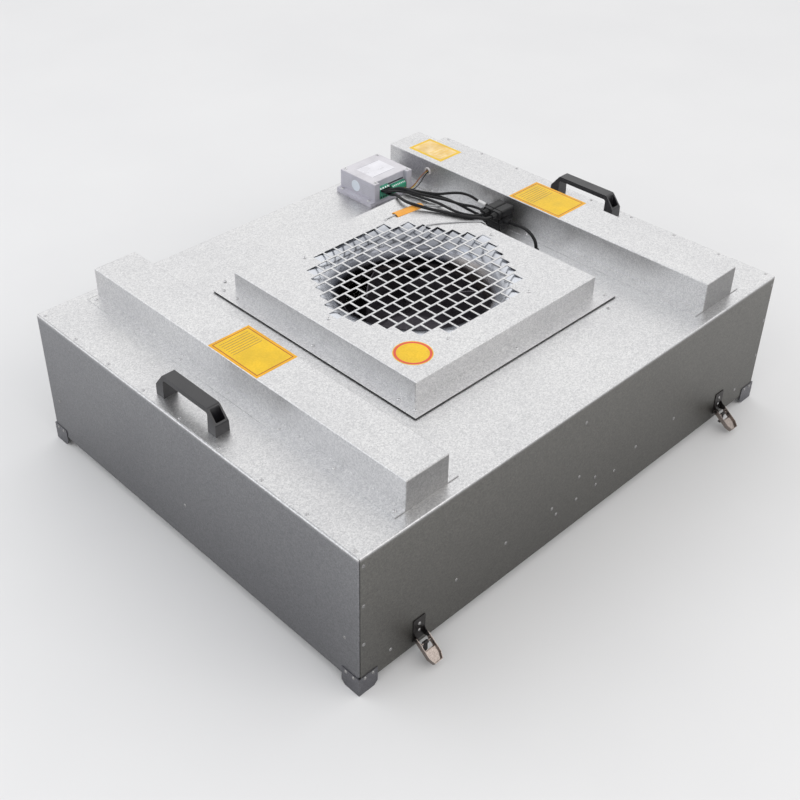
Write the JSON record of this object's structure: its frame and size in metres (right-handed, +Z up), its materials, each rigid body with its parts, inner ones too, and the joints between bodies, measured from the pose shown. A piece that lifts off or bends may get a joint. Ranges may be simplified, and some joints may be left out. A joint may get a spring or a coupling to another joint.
{
  "type": "fan filter unit",
  "caption": "Sheet-metal ceiling fan filter unit with a punched air inlet grille, centrifugal fan, recessed panel filter, ridge covers, speed controller, carrying handles and toggle latches.",
  "frame": {"origin": "middle of the box on the plane its corner brackets stand on", "axes": "+X along the long side towards the controller ridge, +Y along the short side towards the controller, +Z up, against the downward air flow"},
  "size_m": [1.1808, 1.0238, 0.3725],
  "materials": {
    "housing_steel": "speckled aluminium-zinc coated steel, satin",
    "spun_aluminium": "spun, bright",
    "extruded_aluminium": "satin anodised",
    "impeller_metal": "dark grey, satin",
    "motor_casting": "black, satin",
    "guard_white": "white powder coat",
    "filter_paper": "matte folded fibre",
    "foam": "closed cell foam, matte",
    "handle_plastic": "fine grained",
    "controller_plastic": "light grey moulded",
    "terminal_plastic": "green",
    "grommet_plastic": "white",
    "black_plastic": "satin",
    "bright_zinc": "zinc plated",
    "latch_base_steel": "dark nickel",
    "latch_lever_steel": "nickel plated",
    "cable_black": "soft sheath",
    "wire_brown": "insulation",
    "wire_yellow": "insulation",
    "wire_grey": "insulation",
    "tag_paper": "orange"
  },
  "bodies": {
    "housing": {"cable_control": "cable_black", "cable_fan_feed": "cable_black", "cable_gland": "black_plastic", "cable_loop": "cable_black", "cable_motor": "cable_black", "cable_side": "cable_black", "cable_supply": "cable_black", "controller_base": "controller_plastic", "controller_lid": "controller_plastic", "controller_terminals": "terminal_plastic", "corner_bracket_1": "housing_steel", "corner_bracket_2": "housing_steel", "corner_bracket_3": "housing_steel", "corner_bracket_4": "housing_steel", "fan_coupler": "black_plastic", "fan_deck": "housing_steel", "filter_clips": "housing_steel", "filter_guard": "guard_white", "filter_media": "filter_paper", "filter_rail_back": "extruded_aluminium", "filter_rail_front": "extruded_aluminium", "filter_rail_left": "extruded_aluminium", "filter_rail_right": "extruded_aluminium", "handle_left": "handle_plastic", "handle_right": "handle_plastic", "housing_rivets": "bright_zinc", "inlet_gasket": "foam", "inlet_panel": "housing_steel", "inlet_ring": "spun_aluminium", "latch_base_1": "latch_base_steel", "latch_base_2": "latch_base_steel", "latch_base_3": "latch_base_steel", "latch_base_4": "latch_base_steel", "motor": "motor_casting", "panel_screws": "bright_zinc", "plug_control": "black_plastic", "plug_loop": "black_plastic", "plug_side": "black_plastic", "plug_supply": "black_plastic", "ridge_cover_left": "housing_steel", "ridge_cover_right": "housing_steel", "side_panel_left": "housing_steel", "side_panel_right": "housing_steel", "top_cover": "housing_steel", "wire_black": "cable_black", "wire_bond": "wire_grey", "wire_brown": "wire_brown", "wire_earth": "wire_grey", "wire_grommet": "grommet_plastic", "wire_tag": "tag_paper", "wire_yellow": "wire_yellow"},
    "impeller": {"impeller": "impeller_metal"},
    "lever_1": {"latch_lever_1": "latch_lever_steel"},
    "hook_1": {"latch_hook_1": "latch_base_steel"},
    "lever_2": {"latch_lever_2": "latch_lever_steel"},
    "hook_2": {"latch_hook_2": "latch_base_steel"},
    "lever_3": {"latch_lever_3": "latch_lever_steel"},
    "hook_3": {"latch_hook_3": "latch_base_steel"},
    "lever_4": {"latch_lever_4": "latch_lever_steel"},
    "hook_4": {"latch_hook_4": "latch_base_steel"}
  },
  "joints": [
    {"name": "impeller_spin", "type": "hinge", "parent": "housing", "child": "impeller", "pos_m": [0, 0, 0.2], "axis": [0, 0, 1], "continuous": true},
    {"name": "latch_1_lever", "type": "hinge", "parent": "housing", "child": "lever_1", "pos_m": [-0.4495, -0.469, 0.042], "axis": [-1, 0, 0], "range_deg": [0, 125]},
    {"name": "latch_1_hook", "type": "hinge", "parent": "lever_1", "child": "hook_1", "pos_m": [-0.4495, -0.47858, 0.03478], "axis": [-1, 0, 0], "range_deg": [-125, 0]},
    {"name": "latch_2_lever", "type": "hinge", "parent": "housing", "child": "lever_2", "pos_m": [0.4495, -0.469, 0.042], "axis": [-1, 0, 0], "range_deg": [0, 125]},
    {"name": "latch_2_hook", "type": "hinge", "parent": "lever_2", "child": "hook_2", "pos_m": [0.4495, -0.47858, 0.03478], "axis": [-1, 0, 0], "range_deg": [-125, 0]},
    {"name": "latch_3_lever", "type": "hinge", "parent": "housing", "child": "lever_3", "pos_m": [0.4495, 0.469, 0.042], "axis": [1, 0, 0], "range_deg": [0, 125]},
    {"name": "latch_3_hook", "type": "hinge", "parent": "lever_3", "child": "hook_3", "pos_m": [0.4495, 0.47858, 0.03478], "axis": [1, 0, 0], "range_deg": [-125, 0]},
    {"name": "latch_4_lever", "type": "hinge", "parent": "housing", "child": "lever_4", "pos_m": [-0.4495, 0.469, 0.042], "axis": [1, 0, 0], "range_deg": [0, 125]},
    {"name": "latch_4_hook", "type": "hinge", "parent": "lever_4", "child": "hook_4", "pos_m": [-0.4495, 0.47858, 0.03478], "axis": [1, 0, 0], "range_deg": [-125, 0]}
  ],
  "couplings": [
    {"joint": "latch_1_hook", "follows": "latch_1_lever", "ratio": -1},
    {"joint": "latch_2_hook", "follows": "latch_2_lever", "ratio": -1},
    {"joint": "latch_3_hook", "follows": "latch_3_lever", "ratio": -1},
    {"joint": "latch_4_hook", "follows": "latch_4_lever", "ratio": -1}
  ]
}
